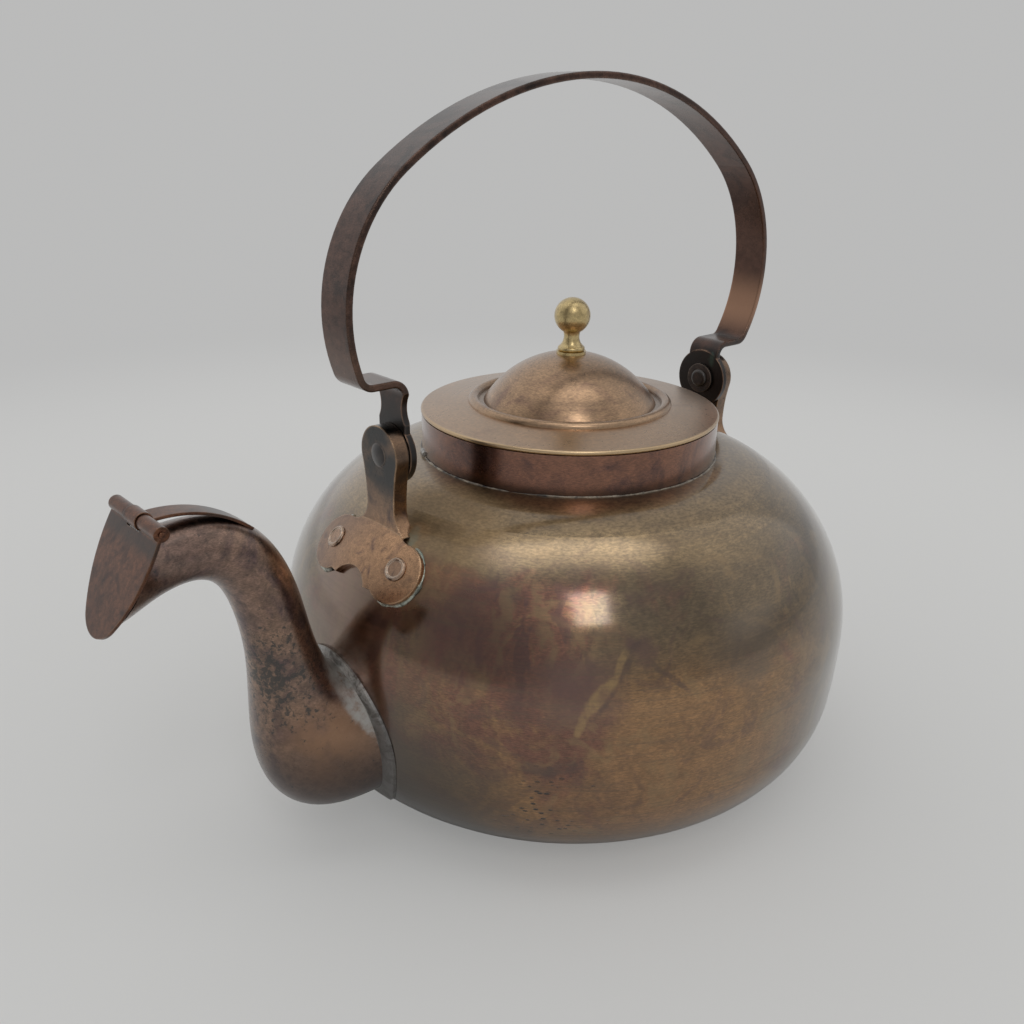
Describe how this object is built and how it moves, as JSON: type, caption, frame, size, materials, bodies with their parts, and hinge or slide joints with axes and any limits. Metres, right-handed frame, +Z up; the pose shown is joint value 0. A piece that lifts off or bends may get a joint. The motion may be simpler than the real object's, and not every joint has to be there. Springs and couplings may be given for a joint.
{
  "type": "tea kettle",
  "caption": "Round-bellied copper kettle with a gooseneck spout and hinged spout flap, a swinging strap handle on riveted ears, and a domed lift-off lid with a brass knob.",
  "frame": {"origin": "centre of the flat base's underside, on the belly's axis", "axes": "+Z up along the belly's axis; the spout points along -X, and the handle stands in the XZ plane"},
  "size_m": [0.3091, 0.23, 0.2666],
  "materials": {
    "copper_body": "aged copper, golden brown patina with purplish blotches",
    "copper_neck": "aged copper, dark red brown",
    "copper_spout": "aged copper, dull brown with black specks",
    "tinned_solder": "dull grey tinned copper",
    "copper_hinge": "aged copper, dull brown",
    "copper_ears": "aged copper, worn bright at the edges",
    "copper_rivets": "aged copper, darkened",
    "copper_handle": "aged copper, dark brown",
    "copper_lid": "aged copper, tan with a worn bright rim",
    "knob_brass": "worn yellow brass"
  },
  "bodies": {
    "kettle": {"body_shell": "copper_body", "base_disc": "copper_body", "neck_band": "copper_neck", "spout": "copper_spout", "spout_flange": "tinned_solder", "hinge_leaf": "copper_hinge", "front_ear": "copper_ears", "rear_ear": "copper_ears", "front_ear_rivets": "copper_rivets", "rear_ear_rivets": "copper_rivets", "front_rivet_roves": "copper_rivets", "rear_rivet_roves": "copper_rivets", "front_pivot_rivet": "copper_rivets", "rear_pivot_rivet": "copper_rivets", "front_pivot_washer": "copper_rivets", "rear_pivot_washer": "copper_rivets"},
    "handle": {"handle_strap": "copper_handle"},
    "lid": {"lid_top": "copper_lid", "lid_flange": "copper_lid", "lid_knob": "knob_brass", "knob_washer": "knob_brass", "knob_burr": "knob_brass"},
    "flap": {"spout_flap": "copper_hinge", "hinge_pin": "copper_hinge"}
  },
  "joints": [
    {"name": "handle_swing", "type": "hinge", "parent": "kettle", "child": "handle", "pos_m": [0, 0, 0.1425], "axis": [1, 0, 0], "range_deg": [-100, 100]},
    {"name": "lid_lift", "type": "slide", "parent": "kettle", "child": "lid", "axis": [0, 0, 1], "range_m": [0, 0.06]},
    {"name": "flap_hinge", "type": "hinge", "parent": "kettle", "child": "flap", "pos_m": [-0.17603, 0, 0.14099], "axis": [0, 1, 0], "range_deg": [0, 215]}
  ]
}
